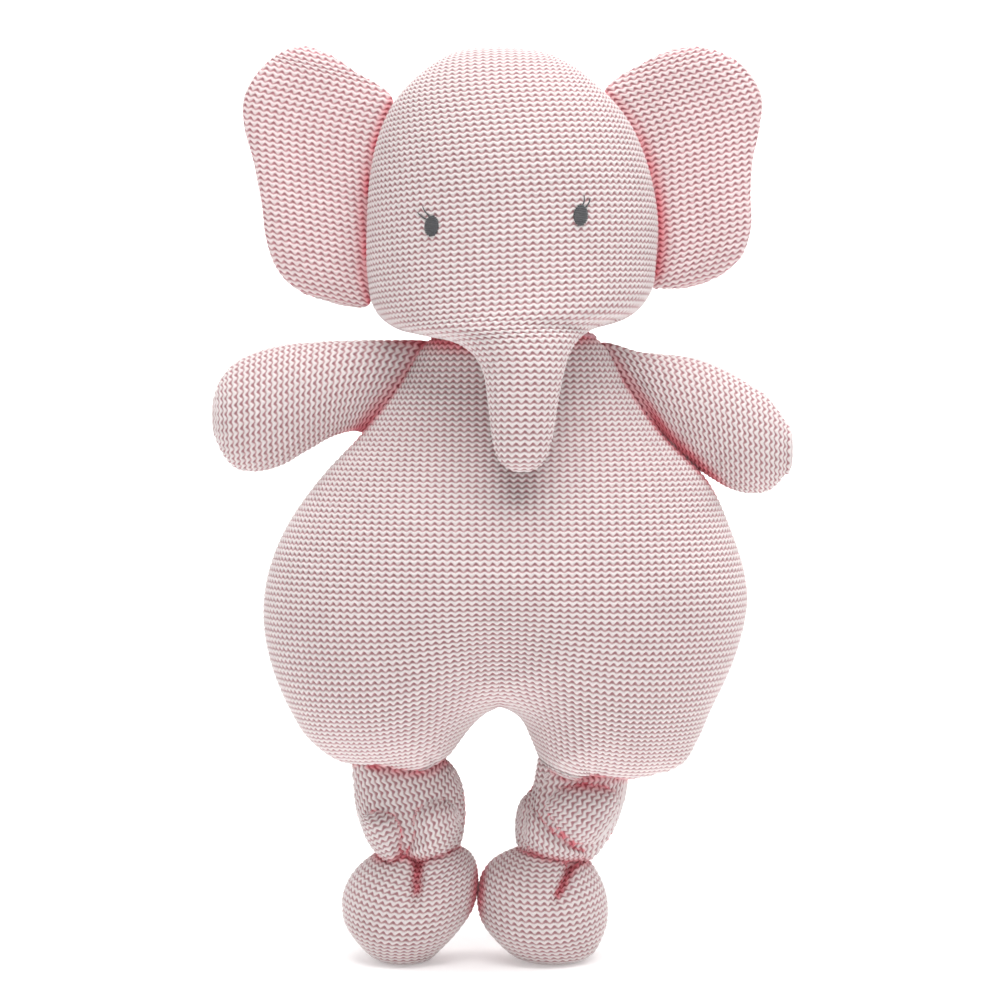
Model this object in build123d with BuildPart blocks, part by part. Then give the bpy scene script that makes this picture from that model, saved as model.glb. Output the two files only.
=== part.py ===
from build123d import *
import math
import os

os.makedirs("parts", exist_ok=True)

# Stuffed knitted elephant, standing. Millimetres; +X is to the right as seen from the front,
# -Y is the front, +Z is up, and the soles stand on Z = 0. Left and right are as seen from the front.

# Fabric and clearances
knit = 1.8  # thickness of the knitted skin
stuffing_gap = 0.3  # between the skin's inner face and its stuffing
joint_gap = 0.3  # between a rounded limb root and its pocket
seam = 0.5  # half the width of a seam where two panels are linked
thread = 0.6  # radius of a row of sewing thread
seam_y = 1.4  # the plane of the side seams, which halves the toy front to back

# Torso: (height, centre, half width, half depth) of its oval sections, crotch to collar
torso_sections = [
    (99, 0, 60, 34),
    (110, 0, 80, 47),
    (122, 0, 89.5, 55),
    (140, 1.3, 92, 57.5),
    (158, 1.6, 88, 53),
    (174, 3, 80, 47),
    (188, 4, 70.5, 41),
    (202, 4.2, 57, 34),
    (218, 4.2, 43.5, 29),
    (232, 4.2, 34, 26.5),
    (241, 4, 27.5, 24),
    (247, 4, 18, 17),
]
thigh_radii = (44, 49, 45)
left_thigh = (-45, 118)
right_thigh = (44, 116.5)

# Head: (height, half width) of its round sections in its own axes, chin to crown
head_centre = (3.5, 294.5)
head_tilt = 3.5
head_sections = [
    (-54, 29),
    (-51, 39.5),
    (-46, 48.5),
    (-38, 53.8),
    (-26, 55.6),
    (-9, 53.8),
    (14, 50.3),
    (31, 43.5),
    (43, 34.5),
    (50, 25),
    (54, 14),
    (55.3, 5),
]
head_depth_ratio = 0.86
head_reach = 60  # more than the head's half width or half height

# Neck: a ball-shaped collar that the head turns and nods on
neck_pivot = (4, 226)
neck_ring = (32.4, 33.6)  # inner and outer radius of the ring of stitching, from the pivot
neck_ring_rise = 14.5
neck_ring_height = 4
head_pocket_radius = 34

# Trunk: (distance below its root, radius)
trunk_root = (6.9, -45, 243)
trunk_ball = 12
trunk_lean = 11
trunk_outline = [(11, 15), (18, 14.3), (29, 12.4), (40, 11), (49, 8.8)]
trunk_length = 54

# Eyes, in the head's own axes, with two lashes each: (start, end) offsets from the eye
eye_radii = (2.8, 3.8)
eye_height = 0.8
left_eye = (-30.5, -13.8)
right_eye = (24.3, -13.4)
face_start = 20  # the eyes' stitches lie between these two distances in front of the middle
face_reach = 60
lash_width = 0.55
lash_height = 0.5
left_lashes = [((-1.6, 2.2), (-4.6, 5.4)), ((-0.4, 3.0), (-2.4, 6.8))]
right_lashes = [((0.6, 3.0), (1.5, 7.6)), ((1.6, 2.2), (3.2, 6.6))]

# Ears, in the head's own axes: root line (top, bottom), and the rest of the outline
ear_root = ((-49.5, 36.0), (-58.5, -40.0))
left_ear_rim = [
    (-66, 56),
    (-76, 60),
    (-88, 56.5),
    (-98, 46),
    (-100, 30),
    (-96, 6),
    (-94.5, -17),
    (-88, -31),
    (-74, -38.5),
]
right_ear_rim = [
    (62, 49.5),
    (73, 51),
    (87, 45.5),
    (96.5, 35),
    (97, 20),
    (92.5, 2),
    (91.5, -16),
    (86, -31),
    (73, -39),
]
ear_thickness = 9
ear_panel = 2
ear_lean = 45  # half angle of the wedge that the ear's root is pinched into
ear_reach = 60  # longer than any ear is wide

# Arms: (seam top, seam bottom, hand centre). Sections square to the arm: share of the way from
# the seam to the hand centre, half width, half depth. A wedge along the seam pinches the root.
left_arm = ((-29.5, 238.5), (-54.5, 202), (-89.3, 211))
right_arm = ((40.5, 237), (67.5, 197.5), (91.8, 202))
arm_sections = [
    (-0.4, 15, 13),
    (0.0, 17, 13),
    (0.4, 18, 13.5),
    (0.7, 19.5, 14.5),
    (0.95, 21.2, 15),
    (1.15, 19.8, 14),
    (1.3, 15.5, 11),
    (1.4, 9.5, 7),
    (1.44, 4, 3),
]
tip_least = 1.5  # a hollow arm stops short of sections thinner than this
arm_lean = 42  # half angle of the wedge that an arm's root is pinched into
arm_reach = 95  # longer than any arm
root_clear = 1.0  # from a root's row of thread to the limb
root_least = 0.3  # half the least thickness at a root

# Legs: a knotted tube between a rounded hip and a rounded ankle, and a ball foot
hip_ball = 17
ankle_ball = 13
left_leg = {"hip": (-35.4, 78), "knot": (-35.4, 57), "ankle": (-35.4, 43), "foot": (-35.6, 20)}
right_leg = {"hip": (27, 76.5), "knot": (26, 55.5), "ankle": (18, 42.5), "foot": (15.4, 20)}
knot_radii = (20.5, 18, 16.5)
left_foot_radii = (26.2, 26, 23.5)
right_foot_radii = (24.4, 26, 23.5)

# Trim on the back
closing_seam = (122, 168)  # its lower and upper end
closing_width = 2.4
closing_height = 0.5
label_size = (18, 24)
label_height = 108
label_thickness = 0.6
back_reach = 60  # deeper than the torso


def at(x, z, y=0.0):
    """A point given by its place across and its height, on the seam plane or y from it."""
    return Vector(x, seam_y + y, z)


def ball(centre, radius):
    with BuildPart() as sphere:
        with Locations(centre):
            Sphere(radius)
    return sphere.part


def ellipsoid(centre, radii):
    with BuildPart() as form:
        Sphere(1)
        scale(by=tuple(float(r) for r in radii))
    with BuildPart() as placed:
        with Locations(centre):
            add(form.part)
    return placed.part


def torso_form(inset):
    """The pear-shaped body over two rounded thighs, every wall moved inward by inset."""
    last = len(torso_sections) - 1
    with BuildPart() as form:
        for i, (height, centre, half_width, half_depth) in enumerate(torso_sections):
            shift = inset if i == 0 else (-inset if i == last else 0)
            with BuildSketch(Plane.XY.offset(height + shift)):
                with Locations((centre, seam_y)):
                    Ellipse(half_width - inset, half_depth - inset)
        loft()
        for x, z in (left_thigh, right_thigh):
            add(ellipsoid(at(x, z), [r - inset for r in thigh_radii]))
    return form.part


def torso_pockets(extra):
    """The round pockets that the two hips sit in."""
    with BuildPart() as pockets:
        for leg in (left_leg, right_leg):
            add(ball(at(*leg["hip"]), hip_ball + joint_gap + extra))
    return pockets.part


def in_head(x, z):
    """A point of the head's own axes, in the toy's frame, as (across, height)."""
    turn = math.radians(head_tilt)
    return (
        head_centre[0] + x * math.cos(turn) - z * math.sin(turn),
        head_centre[1] + x * math.sin(turn) + z * math.cos(turn),
    )


def head_form(inset):
    """The domed head on its tilted axis, every wall moved inward by inset."""
    turn = math.radians(head_tilt)
    last = len(head_sections) - 1
    with BuildPart() as form:
        for i, (height, half_width) in enumerate(head_sections):
            shift = inset if i == 0 else (-inset if i == last else 0)
            level = Plane(
                origin=at(*in_head(0, height + shift)),
                x_dir=(math.cos(turn), 0, math.sin(turn)),
                z_dir=(-math.sin(turn), 0, math.cos(turn)),
            )
            with BuildSketch(level):
                Ellipse(half_width - inset, half_width * head_depth_ratio - inset)
        loft()
    return form.part


def head_pockets(extra):
    """The pockets in the head for the collar and for the root of the trunk."""
    with BuildPart() as pockets:
        add(ball(at(*neck_pivot), head_pocket_radius + extra))
        add(ball(Vector(*trunk_root), trunk_ball + joint_gap + extra))
    return pockets.part


def trunk_form(inset):
    """The tapering trunk, from its rounded root to its rounded tip."""
    points = [(radius - inset, -distance) for distance, radius in trunk_outline]
    tip = -(trunk_length - inset)
    root = trunk_ball - inset
    with BuildPart() as form:
        with BuildSketch(Plane.XZ):
            with BuildLine():
                upper = ThreePointArc((0, root), (root * math.sin(0.8), root * math.cos(0.8)), (root, 0))
                Spline([upper @ 1, *points, (0, tip)], tangents=[(0.25, -1), (-1, 0)])
                Line((0, tip), (0, root))
            make_face()
        revolve(axis=Axis.Z)
    with BuildPart() as placed:
        with Locations(Location(Vector(*trunk_root), (-trunk_lean, 0, 0))):
            add(form.part)
    return placed.part


def root_wedge(top, bottom, side, lean, length, inset=0.0):
    """A wedge that opens outward from a sewn root line, so that a limb's root is pinched flat."""
    start = at(*bottom)
    along = (at(*top) - start).normalized()
    outward = Vector(along.Z, 0, -along.X)
    if outward.X * side < 0:
        outward = outward * -1
    slope = math.tan(math.radians(lean))
    lost = inset / math.cos(math.radians(lean))
    near = root_clear + max(inset, (lost - thread + root_least) / slope)
    half_near = thread - lost + (near - root_clear) * slope
    half_far = half_near + (length - near) * slope
    profile = Plane(origin=start - along * length, x_dir=outward, z_dir=along)
    with BuildPart() as wedge:
        with BuildSketch(profile):
            corners = [(near, -half_near), (length, -half_far), (length, half_far), (near, half_near)]
            Polygon(*corners, align=None)
        extrude(amount=3 * length)
    return wedge.part


def root_thread(top, bottom):
    """The row of thread that sews a limb on along its root line."""
    start = at(*bottom)
    reach = at(*top) - start
    with BuildPart() as row:
        with BuildSketch(Plane(origin=start, z_dir=reach.normalized())):
            Circle(thread)
        extrude(amount=reach.length)
    return row.part


def arm_form(arm, inset):
    """One mitten-shaped arm, pinched flat where it is sewn on, every wall moved inward by inset."""
    top, bottom, hand = (at(x, z) for x, z in arm)
    side = math.copysign(1, hand.X)
    start = (top + bottom) * 0.5
    run = hand - start
    with BuildPart() as form:
        for share, half_width, half_depth in arm_sections:
            if half_depth - inset < tip_least:
                continue
            level = Plane(origin=start + run * share, x_dir=(0, 1, 0), z_dir=run.normalized())
            with BuildSketch(level):
                Ellipse(half_depth - inset, half_width - inset)
        loft()
        add(root_wedge(arm[0], arm[1], side, arm_lean, arm_reach, inset), mode=Mode.INTERSECT)
    return form.part


def ear_root_line(side):
    return [in_head(-side * x, z) for x, z in ear_root]


def ear_slab(side, rim, inset, front, back):
    """A slice of one ear between two depths, with its outline moved inward by inset."""
    line = ear_root_line(side)
    rim_points = [in_head(x, z) for x, z in rim]
    outline = [Vector(*point) for point in (line[0], *rim_points, line[1])]
    middle = sum(outline, Vector(0, 0)) / len(outline)
    outline = [point + (middle - point).normalized() * inset for point in outline]
    with BuildPart() as slab:
        with BuildSketch(Plane.XZ.offset(-seam_y - back)):
            with BuildLine():
                Spline(*outline)
                Line(outline[-1], outline[0])
            make_face()
        extrude(amount=back - front)
        add(root_wedge(*line, side, ear_lean, ear_reach), mode=Mode.INTERSECT)
    return slab.part


def on_surface(form, proud, prism):
    """What lies on a curved skin: the layer from the skin's face out to proud, inside a prism."""
    with BuildPart() as layer:
        add(form(-proud))
        add(form(0), mode=Mode.SUBTRACT)
        add(prism, mode=Mode.INTERSECT)
    return layer.part


def write(piece, name):
    piece.label = name
    export_step(piece, f"parts/{name}.step")


# --- Torso ------------------------------------------------------------------------------------
torso_outer = torso_form(0)
torso_inner = torso_form(knit)

with BuildPart() as torso_skin:
    add(torso_outer)
    add(torso_inner, mode=Mode.SUBTRACT)
    add(torso_pockets(0), mode=Mode.SUBTRACT)

with BuildPart() as torso_front_panel:
    add(torso_skin.part)
    split(bisect_by=Plane.XZ.offset(-seam_y + seam), keep=Keep.TOP)
write(torso_front_panel.part, "torso_front_panel")

with BuildPart() as torso_back_panel:
    add(torso_skin.part)
    split(bisect_by=Plane.XZ.offset(-seam_y - seam), keep=Keep.BOTTOM)
write(torso_back_panel.part, "torso_back_panel")

with BuildPart() as torso_side_seam:
    for form, mode in ((torso_outer, Mode.ADD), (torso_inner, Mode.SUBTRACT)):
        outline = section(form, section_by=Plane.XZ.offset(-seam_y), mode=Mode.PRIVATE)
        extrude(outline, amount=seam, both=True, mode=mode)
    add(torso_pockets(0), mode=Mode.SUBTRACT)
write(torso_side_seam.part, "torso_side_seam")

with BuildPart() as torso_stuffing:
    add(torso_form(knit + stuffing_gap))
    add(torso_pockets(knit), mode=Mode.SUBTRACT)
write(torso_stuffing.part, "torso_stuffing")

with BuildPart() as closing_prism:
    low, high = closing_seam
    with Locations(Vector(0, back_reach, (low + high) / 2)):
        Box(closing_width, back_reach, high - low)
with BuildPart() as back_closing_seam:
    add(on_surface(torso_form, closing_height, closing_prism.part))
write(back_closing_seam.part, "back_closing_seam")

with BuildPart() as label_prism:
    with Locations(Vector(0, back_reach, label_height)):
        Box(label_size[0], back_reach, label_size[1])
with BuildPart() as care_label:
    add(on_surface(torso_form, label_thickness, label_prism.part))
write(care_label.part, "care_label")

# --- Neck -------------------------------------------------------------------------------------
with BuildPart() as neck_stitching:
    add(ball(at(*neck_pivot), neck_ring[1]))
    add(ball(at(*neck_pivot), neck_ring[0]), mode=Mode.SUBTRACT)
    with Locations(at(neck_pivot[0], neck_pivot[1] + neck_ring_rise)):
        Box(3 * neck_ring[1], 3 * neck_ring[1], neck_ring_height, mode=Mode.INTERSECT)
write(neck_stitching.part, "neck_stitching")

# --- Head -------------------------------------------------------------------------------------
with BuildPart() as head_skin:
    add(head_form(0))
    add(head_form(knit), mode=Mode.SUBTRACT)
    add(head_pockets(0), mode=Mode.SUBTRACT)

with BuildPart() as head_front_panel:
    add(head_skin.part)
    split(bisect_by=Plane.XZ.offset(-seam_y + seam), keep=Keep.TOP)
write(head_front_panel.part, "head_front_panel")

with BuildPart() as head_back_panel:
    add(head_skin.part)
    split(bisect_by=Plane.XZ.offset(-seam_y - seam), keep=Keep.BOTTOM)
write(head_back_panel.part, "head_back_panel")

with BuildPart() as head_side_seam:
    add(head_skin.part)
    with Locations(at(*head_centre)):
        Box(3 * head_reach, 2 * seam, 3 * head_reach, mode=Mode.INTERSECT)
write(head_side_seam.part, "head_side_seam")

with BuildPart() as head_stuffing:
    add(head_form(knit + stuffing_gap))
    add(head_pockets(knit), mode=Mode.SUBTRACT)
write(head_stuffing.part, "head_stuffing")

for name, eye, lashes in (("left", left_eye, left_lashes), ("right", right_eye, right_lashes)):
    eye_place = in_head(*eye)
    with BuildPart() as eye_prism:
        with BuildSketch(Plane.XZ.offset(face_start)):
            with Locations(eye_place):
                Ellipse(*eye_radii)
        extrude(amount=face_reach - face_start)
    with BuildPart() as eye_stitches:
        add(on_surface(head_form, eye_height, eye_prism.part))
    write(eye_stitches.part, f"{name}_eye")

    with BuildPart() as lash_prism:
        with BuildSketch(Plane.XZ.offset(face_start)):
            for start, end in lashes:
                a = in_head(eye[0] + start[0], eye[1] + start[1])
                b = in_head(eye[0] + end[0], eye[1] + end[1])
                length = math.hypot(b[0] - a[0], b[1] - a[1])
                angle = math.degrees(math.atan2(b[1] - a[1], b[0] - a[0]))
                with Locations(Location(((a[0] + b[0]) / 2, (a[1] + b[1]) / 2), angle)):
                    Rectangle(length, lash_width)
            with Locations(eye_place):
                Ellipse(*eye_radii, mode=Mode.SUBTRACT)
        extrude(amount=face_reach - face_start)
    with BuildPart() as lash_stitches:
        add(on_surface(head_form, lash_height, lash_prism.part))
    write(lash_stitches.part, f"{name}_lashes")

# --- Trunk ------------------------------------------------------------------------------------
with BuildPart() as trunk_skin:
    add(trunk_form(0))
    add(trunk_form(knit), mode=Mode.SUBTRACT)
write(trunk_skin.part, "trunk_skin")

with BuildPart() as trunk_stuffing:
    add(trunk_form(knit + stuffing_gap))
write(trunk_stuffing.part, "trunk_stuffing")

# --- Ears -------------------------------------------------------------------------------------
half_ear = ear_thickness / 2
ear_core = half_ear - ear_panel
for name, side, rim in (("left", -1, left_ear_rim), ("right", 1, right_ear_rim)):
    with BuildPart() as ear_front_panel:
        add(ear_slab(side, rim, 0, -half_ear, -ear_core))
    write(ear_front_panel.part, f"{name}_ear_front_panel")

    with BuildPart() as ear_back_panel:
        add(ear_slab(side, rim, 0, ear_core, half_ear))
    write(ear_back_panel.part, f"{name}_ear_back_panel")

    with BuildPart() as ear_edge_seam:
        add(ear_slab(side, rim, 0, -ear_core, ear_core))
        add(ear_slab(side, rim, knit, -ear_core, ear_core), mode=Mode.SUBTRACT)
    write(ear_edge_seam.part, f"{name}_ear_edge_seam")

    with BuildPart() as ear_batting:
        thick = ear_core - stuffing_gap
        add(ear_slab(side, rim, knit + stuffing_gap, -thick, thick))
    write(ear_batting.part, f"{name}_ear_batting")

    with BuildPart() as ear_root_stitching:
        add(root_thread(*ear_root_line(side)))
    write(ear_root_stitching.part, f"{name}_ear_root_stitching")

# --- Arms -------------------------------------------------------------------------------------
for name, arm in (("left", left_arm), ("right", right_arm)):
    with BuildPart() as arm_skin:
        add(arm_form(arm, 0))
        add(arm_form(arm, knit), mode=Mode.SUBTRACT)
    write(arm_skin.part, f"{name}_arm_skin")

    with BuildPart() as arm_stuffing:
        add(arm_form(arm, knit + stuffing_gap))
    write(arm_stuffing.part, f"{name}_arm_stuffing")

    with BuildPart() as shoulder_stitching:
        add(root_thread(arm[0], arm[1]))
    write(shoulder_stitching.part, f"{name}_shoulder_stitching")

# --- Legs and feet ----------------------------------------------------------------------------
for name, leg, radii in (("left", left_leg, left_foot_radii), ("right", right_leg, right_foot_radii)):
    with BuildPart() as leg_knot:
        add(ellipsoid(at(*leg["knot"]), knot_radii))
        add(ball(at(*leg["hip"]), hip_ball))
        add(ball(at(*leg["ankle"]), ankle_ball))
    write(leg_knot.part, f"{name}_leg_knot")

    with BuildPart() as foot_hollow:
        add(ellipsoid(at(*leg["foot"]), [r - knit for r in radii]))
        split(bisect_by=Plane.XY.offset(knit), keep=Keep.TOP)
    with BuildPart() as foot_skin:
        add(ellipsoid(at(*leg["foot"]), radii))
        split(bisect_by=Plane.XY, keep=Keep.TOP)
        add(foot_hollow.part, mode=Mode.SUBTRACT)
        add(ball(at(*leg["ankle"]), ankle_ball + joint_gap), mode=Mode.SUBTRACT)
    write(foot_skin.part, f"{name}_foot_skin")

    with BuildPart() as foot_stuffing:
        add(ellipsoid(at(*leg["foot"]), [r - knit - stuffing_gap for r in radii]))
        split(bisect_by=Plane.XY.offset(knit + stuffing_gap), keep=Keep.TOP)
        add(ball(at(*leg["ankle"]), ankle_ball + joint_gap + knit), mode=Mode.SUBTRACT)
    write(foot_stuffing.part, f"{name}_foot_stuffing")
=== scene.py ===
"""A stuffed knitted elephant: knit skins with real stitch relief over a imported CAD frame."""
import math

import bpy
import numpy as np
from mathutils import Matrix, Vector
from mathutils.bvhtree import BVHTree


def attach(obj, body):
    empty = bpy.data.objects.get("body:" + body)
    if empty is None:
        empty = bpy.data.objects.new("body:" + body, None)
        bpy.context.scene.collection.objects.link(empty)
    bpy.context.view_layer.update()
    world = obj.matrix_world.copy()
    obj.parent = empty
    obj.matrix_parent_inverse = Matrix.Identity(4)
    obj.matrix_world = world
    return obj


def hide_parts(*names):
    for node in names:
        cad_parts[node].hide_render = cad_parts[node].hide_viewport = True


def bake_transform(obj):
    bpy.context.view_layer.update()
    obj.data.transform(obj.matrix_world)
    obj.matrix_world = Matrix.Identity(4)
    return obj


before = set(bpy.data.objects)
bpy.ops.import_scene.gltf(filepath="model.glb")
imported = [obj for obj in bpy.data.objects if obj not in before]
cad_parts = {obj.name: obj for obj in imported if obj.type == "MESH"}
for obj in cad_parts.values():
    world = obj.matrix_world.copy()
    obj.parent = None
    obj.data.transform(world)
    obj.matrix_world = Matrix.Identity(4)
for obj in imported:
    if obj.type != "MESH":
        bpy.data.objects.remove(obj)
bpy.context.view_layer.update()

# Every length in this script is in millimetres, and make_mesh turns them into metres
MM = 0.001
SEAM_Y = 1.4  # where the plane of the side seams lies, front to back

# The knit: purl side out, one wave of yarn per row, seen as light ridges over dark gaps
ROW = 2.2  # a row's height
STITCH = 3.06  # a stitch's width
ROW_CUTS = 4  # grid lines per row
STITCH_CUTS = 5  # grid lines per stitch
WAVE = 0.22  # how far a row's wave swings, in rows
RIDGE = 0.62  # how far a row of yarn stands out
PIT = 0.5  # how deep the pit under each arch of yarn is
SEAM_DIP = 0.5  # how deep a panel dips along its seams


# ---------------------------------------------------------------- curves and small helpers
def smooth(keys, x):
    """Values of a smooth curve through (x, value, ...) keys; every column after the first."""
    k = np.array(sorted(keys), float)
    xs, ys = k[:, 0], k[:, 1:]
    slopes = np.gradient(ys, xs, axis=0)
    x = np.clip(np.asarray(x, float), xs[0], xs[-1])
    i = np.clip(np.searchsorted(xs, x) - 1, 0, len(xs) - 2)
    h = xs[i + 1] - xs[i]
    t = ((x - xs[i]) / h)[..., None]
    h = h[..., None]
    out = (
        (2 * t**3 - 3 * t**2 + 1) * ys[i]
        + (t**3 - 2 * t**2 + t) * h * slopes[i]
        + (-2 * t**3 + 3 * t**2) * ys[i + 1]
        + (t**3 - t**2) * h * slopes[i + 1]
    )
    return out[..., 0] if ys.shape[1] == 1 else out


def through(points, count):
    """A smooth run of count points through control points, evenly spaced along its length."""
    p = np.array(points, float)
    step = np.r_[0, np.cumsum(np.linalg.norm(np.diff(p, axis=0), axis=1) ** 0.5)]
    keys = [(s, *q) for s, q in zip(step, p)]
    fine = smooth(keys, np.linspace(0, step[-1], 600))
    run = np.r_[0, np.cumsum(np.linalg.norm(np.diff(fine, axis=0), axis=1))]
    at = np.linspace(0, run[-1], count)
    return np.stack([np.interp(at, run, fine[:, c]) for c in range(p.shape[1])], 1)


def ease(x, low, high):
    """0 below low, 1 above high and smooth between; low may be the larger."""
    t = np.clip((np.asarray(x, float) - low) / (high - low), 0, 1)
    return t * t * (3 - 2 * t)


def unit(v):
    return v / np.maximum(np.linalg.norm(v, axis=-1, keepdims=True), 1e-9)


def rounded(share):
    """The height of a quarter circle at share of the way in from its edge."""
    return np.sqrt(np.clip(1 - (1 - np.clip(share, 0, 1)) ** 2, 0, 1))


# ---------------------------------------------------------------- mesh making
def make_mesh(name, verts, quads, tris=None, knit=None, shade=True):
    mesh = bpy.data.meshes.new(name)
    tris = np.zeros((0, 3), int) if tris is None else tris
    loops = np.concatenate([quads.ravel(), tris.ravel()]).astype(np.int32)
    totals = np.concatenate([np.full(len(quads), 4), np.full(len(tris), 3)]).astype(np.int32)
    starts = np.concatenate([[0], np.cumsum(totals)[:-1]]).astype(np.int32)
    mesh.vertices.add(len(verts))
    mesh.vertices.foreach_set("co", (verts * MM).astype(np.float32).ravel())
    mesh.loops.add(len(loops))
    mesh.loops.foreach_set("vertex_index", loops)
    mesh.polygons.add(len(totals))
    mesh.polygons.foreach_set("loop_start", starts)
    mesh.polygons.foreach_set("loop_total", totals)
    mesh.polygons.foreach_set("use_smooth", np.full(len(totals), shade))
    mesh.update(calc_edges=True)
    if knit is not None:
        layer = mesh.attributes.new("knit", "FLOAT_VECTOR", "POINT")
        layer.data.foreach_set("vector", knit.astype(np.float32).ravel())
    mesh.validate()
    obj = bpy.data.objects.new(name, mesh)
    bpy.context.scene.collection.objects.link(obj)
    return obj


def weave(index):
    """Quads and triangles over a grid of vertex numbers, where clamped columns share one vertex."""
    a, b, c, d = index[:-1, :-1], index[:-1, 1:], index[1:, 1:], index[1:, :-1]
    q = np.stack([a.ravel(), d.ravel(), c.ravel(), b.ravel()], 1)
    same = np.stack([q[:, 0] == q[:, 1], q[:, 1] == q[:, 2], q[:, 2] == q[:, 3], q[:, 3] == q[:, 0]], 1)
    full = q[~same.any(1)]
    tris = []
    for side, keep in ((0, (0, 2, 3)), (1, (0, 1, 3)), (2, (0, 1, 2)), (3, (0, 1, 2))):
        one = same[:, side] & (same.sum(1) == 1)
        tris.append(q[one][:, keep])
    return full, np.concatenate(tris)


def relief(u, v):
    """How far the yarn stands out at stitch u and row v: round ridges, with pits under each arch."""
    away = np.abs(v % 1.0 - 0.5) * 2
    ridge = (0.5 + 0.5 * np.cos(math.pi * away)) ** 0.8
    arch = 0.5 + 0.5 * np.sin(2 * math.pi * u)
    return RIDGE * ridge - PIT * arch**2 * (1 - ridge) ** 2


def row_levels(curves, low, high, shares=(0.3, 0.5, 0.7), most=None):
    """Where the rows' grid lines fall between p = low and high, evenly spaced over the surfaces of
    the curves, and their row numbers. shares are the places along the curves where the spacing is
    measured, and most limits it where the surface turns away from the climb of p."""
    probe = np.linspace(low, high, 240)
    gaps = []
    for curve in curves:
        runs = curve(probe)
        for share in shares:
            line = runs[:, int(share * (runs.shape[1] - 1))]
            gaps.append(np.linalg.norm(np.diff(line, axis=0), axis=1))
    gap = np.median(gaps, 0)
    if most is not None:
        gap = np.minimum(gap, most * (probe[1] - probe[0]))
    climb = np.r_[0, np.cumsum(gap)]
    levels = max(int(climb[-1] / ROW * ROW_CUTS), 4)
    heights = np.linspace(0, climb[-1], levels + 1)
    return np.interp(heights, climb, probe), heights / ROW


PARTING_ROWS = (116, 92)  # the torso's rows part for the thighs between these heights
WHOLE = 0.05  # a torso row that starts this near the middle line isn't cut by the arch


def knit_sheet(curve, levels, ref=0.5, out=1, sign=1, split=None, round_edge=0.9):
    """Stitched grid over one panel. curve(p) gives evenly dense points across the rows at p, and
    stitches are counted from ref of the way across. out is 1 or -1, so that the relief faces
    outwards, and sign is the way the stitches are counted. With split = (middle, span), rows start
    at the middle line or where the arch cuts them, stitches are counted from span away from the
    middle where the thighs part, and a row that starts at the middle has no edge there."""
    at_rows, rows = levels
    dense = curve(at_rows)
    steps = np.linalg.norm(np.diff(dense, axis=1), axis=2)
    along = np.concatenate([np.zeros((len(dense), 1)), np.cumsum(steps, 1)], 1)
    zero = along[:, int(round(ref * (along.shape[1] - 1)))]
    whole = np.zeros(len(dense), bool)
    if split is not None:
        middle, span = split
        off = np.abs(dense[..., 0] - middle)
        whole = off[:, 0] < WHOLE
        reach = np.array([np.interp(span, off[i], along[i]) for i in range(len(dense))])
        parting = ease(at_rows, *PARTING_ROWS)
        zero = (reach - np.interp(PARTING_ROWS[0], at_rows, reach)) * parting
    low_u, high_u = -zero / STITCH, (along[:, -1] - zero) / STITCH
    j = np.arange(int(math.floor(low_u.min() * STITCH_CUTS)), int(high_u.max() * STITCH_CUTS) + 2)
    u = np.clip(j[None, :] / STITCH_CUTS, low_u[:, None], high_u[:, None])
    place = u * STITCH + zero[:, None]
    base, across = np.empty((2, len(dense), len(j), 3))
    nudge = 0.3
    for i in range(len(dense)):
        ahead = np.clip(place[i] + nudge, 0, along[i, -1])
        behind = np.clip(place[i] - nudge, 0, along[i, -1])
        for c in range(3):
            base[i, :, c] = np.interp(place[i], along[i], dense[i, :, c])
            across[i, :, c] = np.interp(ahead, along[i], dense[i, :, c])
            across[i, :, c] -= np.interp(behind, along[i], dense[i, :, c])
    from_start = u - low_u[:, None]
    if split is not None:
        from_start = from_start + np.where(whole, 20 * (1 - parting), 0)[:, None]
    edge = np.minimum(from_start, high_u[:, None] - u)
    up = np.gradient(base, axis=0) * ROW_CUTS
    normal = unit(np.cross(up, across)) * out
    fade = ease(edge, 0.0, round_edge)
    v = np.repeat(rows[:, None], len(j), 1)
    u = u * sign
    ends = ease(np.arange(len(dense)), 0, 3) * ease(np.arange(len(dense))[::-1], 0, 3)
    swing = WAVE * np.sin(2 * math.pi * u) * fade * ends[:, None]
    short = np.minimum(1.0, ROW * 1.6 / np.maximum(np.linalg.norm(up, axis=2), 1e-6))
    verts = base + up * (swing * short)[..., None]
    squeeze = ease(np.linalg.norm(up, axis=2) / ROW, 0.15, 0.7)
    lift = (relief(u, v) * squeeze) * fade - SEAM_DIP * (1 - fade) * ~whole[:, None]
    verts = verts + normal * lift[..., None]
    number = np.arange(len(dense) * len(j)).reshape(len(dense), len(j))
    first = np.floor(low_u * STITCH_CUTS + 1e-6).astype(int) - j[0]
    last = np.ceil(high_u * STITCH_CUTS - 1e-6).astype(int) - j[0]
    clamp = np.clip(np.arange(len(j))[None, :], first[:, None], last[:, None])
    index = np.take_along_axis(number, np.clip(clamp, 0, len(j) - 1), 1)
    info = np.stack([u, v, fade], 2)
    return {"verts": verts, "index": index, "info": info, "normal": normal, "base": base}


KNITTED = []  # (object, its sheets, the vertices it kept), for paint_crease_shade


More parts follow.
